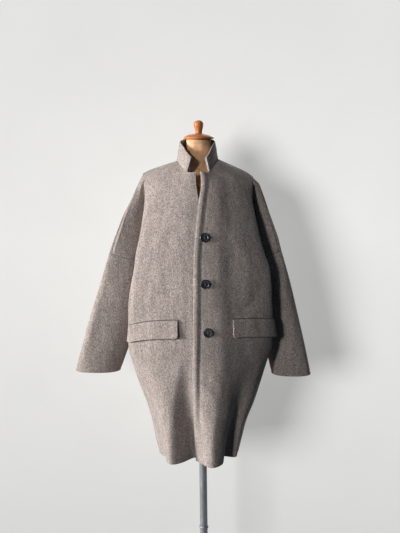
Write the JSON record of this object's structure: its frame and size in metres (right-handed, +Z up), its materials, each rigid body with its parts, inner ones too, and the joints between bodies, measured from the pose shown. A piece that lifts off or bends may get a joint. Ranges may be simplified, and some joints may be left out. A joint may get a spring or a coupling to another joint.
{
  "type": "short coat on a dress form with a stand",
  "caption": "Short cocoon-shaped wool coat with a turned-up collar, buttoned lapped front, pocket flaps and dropped shoulders, on a limbless dress form with a pole and round base.",
  "frame": {"origin": "centre of the base's underside, on the pole's axis, on the floor", "axes": "+Z up along the pole, -Y the coat's front, +X the wearer's left"},
  "size_m": [0.731, 0.37, 1.5296],
  "materials": {
    "wool": "thick felted wool, grey-brown melange with light flecks and a soft nap",
    "button_black": "dark blue-black, softly polished",
    "linen": "plain woven natural linen",
    "turned_wood": "turned, waxed, warm brown",
    "pole_steel": "grey, satin"
  },
  "bodies": {
    "root": {"back": "wool", "front_right": "wool", "front_left": "wool", "sleeve_right": "wool", "sleeve_left": "wool", "collar": "wool", "flap_right": "wool", "flap_left": "wool", "button_1": "button_black", "button_2": "button_black", "button_3": "button_black", "form_torso": "linen", "neck_cap": "turned_wood", "neck_knob": "turned_wood", "pole": "pole_steel", "base": "pole_steel"}
  },
  "joints": []
}
